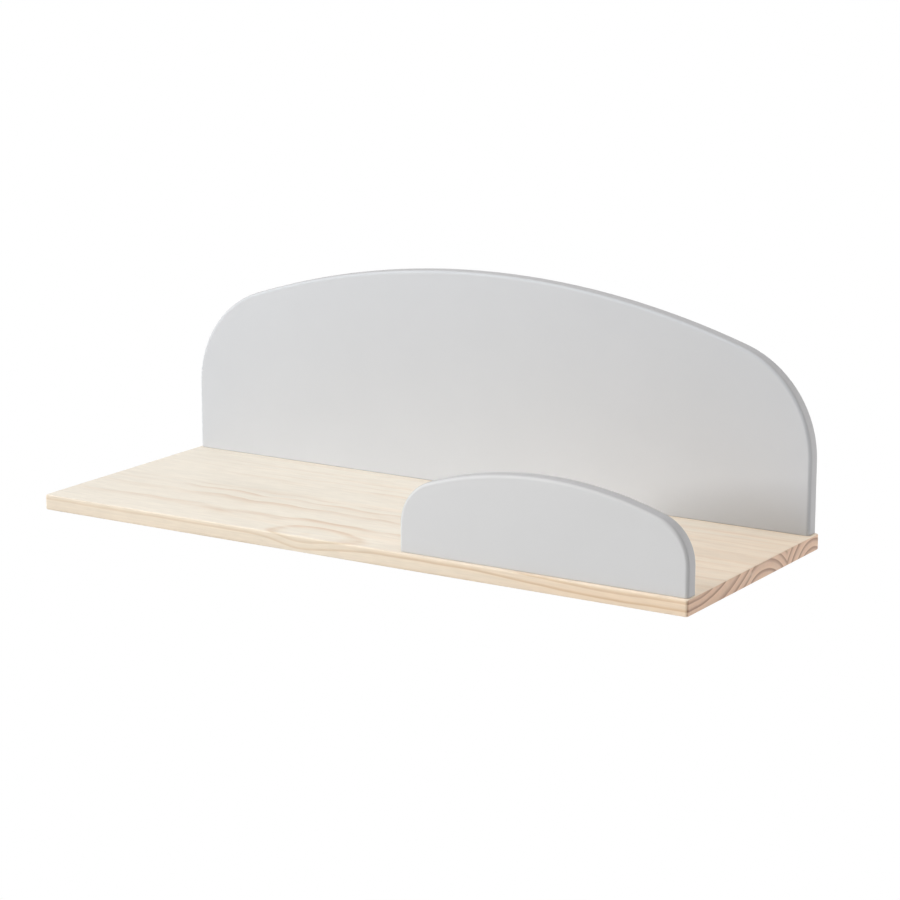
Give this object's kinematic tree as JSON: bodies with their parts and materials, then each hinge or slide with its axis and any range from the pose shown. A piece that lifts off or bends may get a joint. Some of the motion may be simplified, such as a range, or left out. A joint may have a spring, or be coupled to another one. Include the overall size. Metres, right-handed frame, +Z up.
{
  "type": "wall shelf",
  "caption": "Pine wall shelf with a tall arched grey back panel and a short arched grey fence at the front right corner, hung on keyhole plates let into its back.",
  "frame": {"origin": "on the wall plane, which is the back face of the back panel, midway between the two keyhole slots and at the height where the wall screws' shanks sit, 140 mm above the board's top", "axes": "+X to the right as seen from the room, along the board's length; +Y back into the wall; +Z up"},
  "size_m": [0.8, 0.3, 0.261],
  "materials": {
    "pine": "fine sanded and clear matt lacquered pine, flat-sawn figure on top, annual rings on the ends",
    "grey_paint": "fibreboard sprayed with light grey satin paint",
    "beech": "plain turned beech, fluted",
    "zinc_steel": "bright zinc plated screws",
    "hanger_steel": "zinc plated sheet steel"
  },
  "bodies": {
    "root": {"front_stave": "pine", "middle_stave": "pine", "back_stave": "pine", "back_panel": "grey_paint", "front_fence": "grey_paint", "panel_screw_1": "zinc_steel", "panel_screw_2": "zinc_steel", "panel_screw_3": "zinc_steel", "panel_screw_4": "zinc_steel", "panel_screw_5": "zinc_steel", "fence_screw_1": "zinc_steel", "fence_screw_2": "zinc_steel", "fence_screw_3": "zinc_steel", "panel_dowel_1": "beech", "panel_dowel_2": "beech", "panel_dowel_3": "beech", "panel_dowel_4": "beech", "fence_dowel_1": "beech", "fence_dowel_2": "beech", "left_hanger_plate": "hanger_steel", "left_hanger_lower_screw": "zinc_steel", "left_hanger_upper_screw": "zinc_steel", "right_hanger_plate": "hanger_steel", "right_hanger_lower_screw": "zinc_steel", "right_hanger_upper_screw": "zinc_steel"}
  },
  "joints": []
}
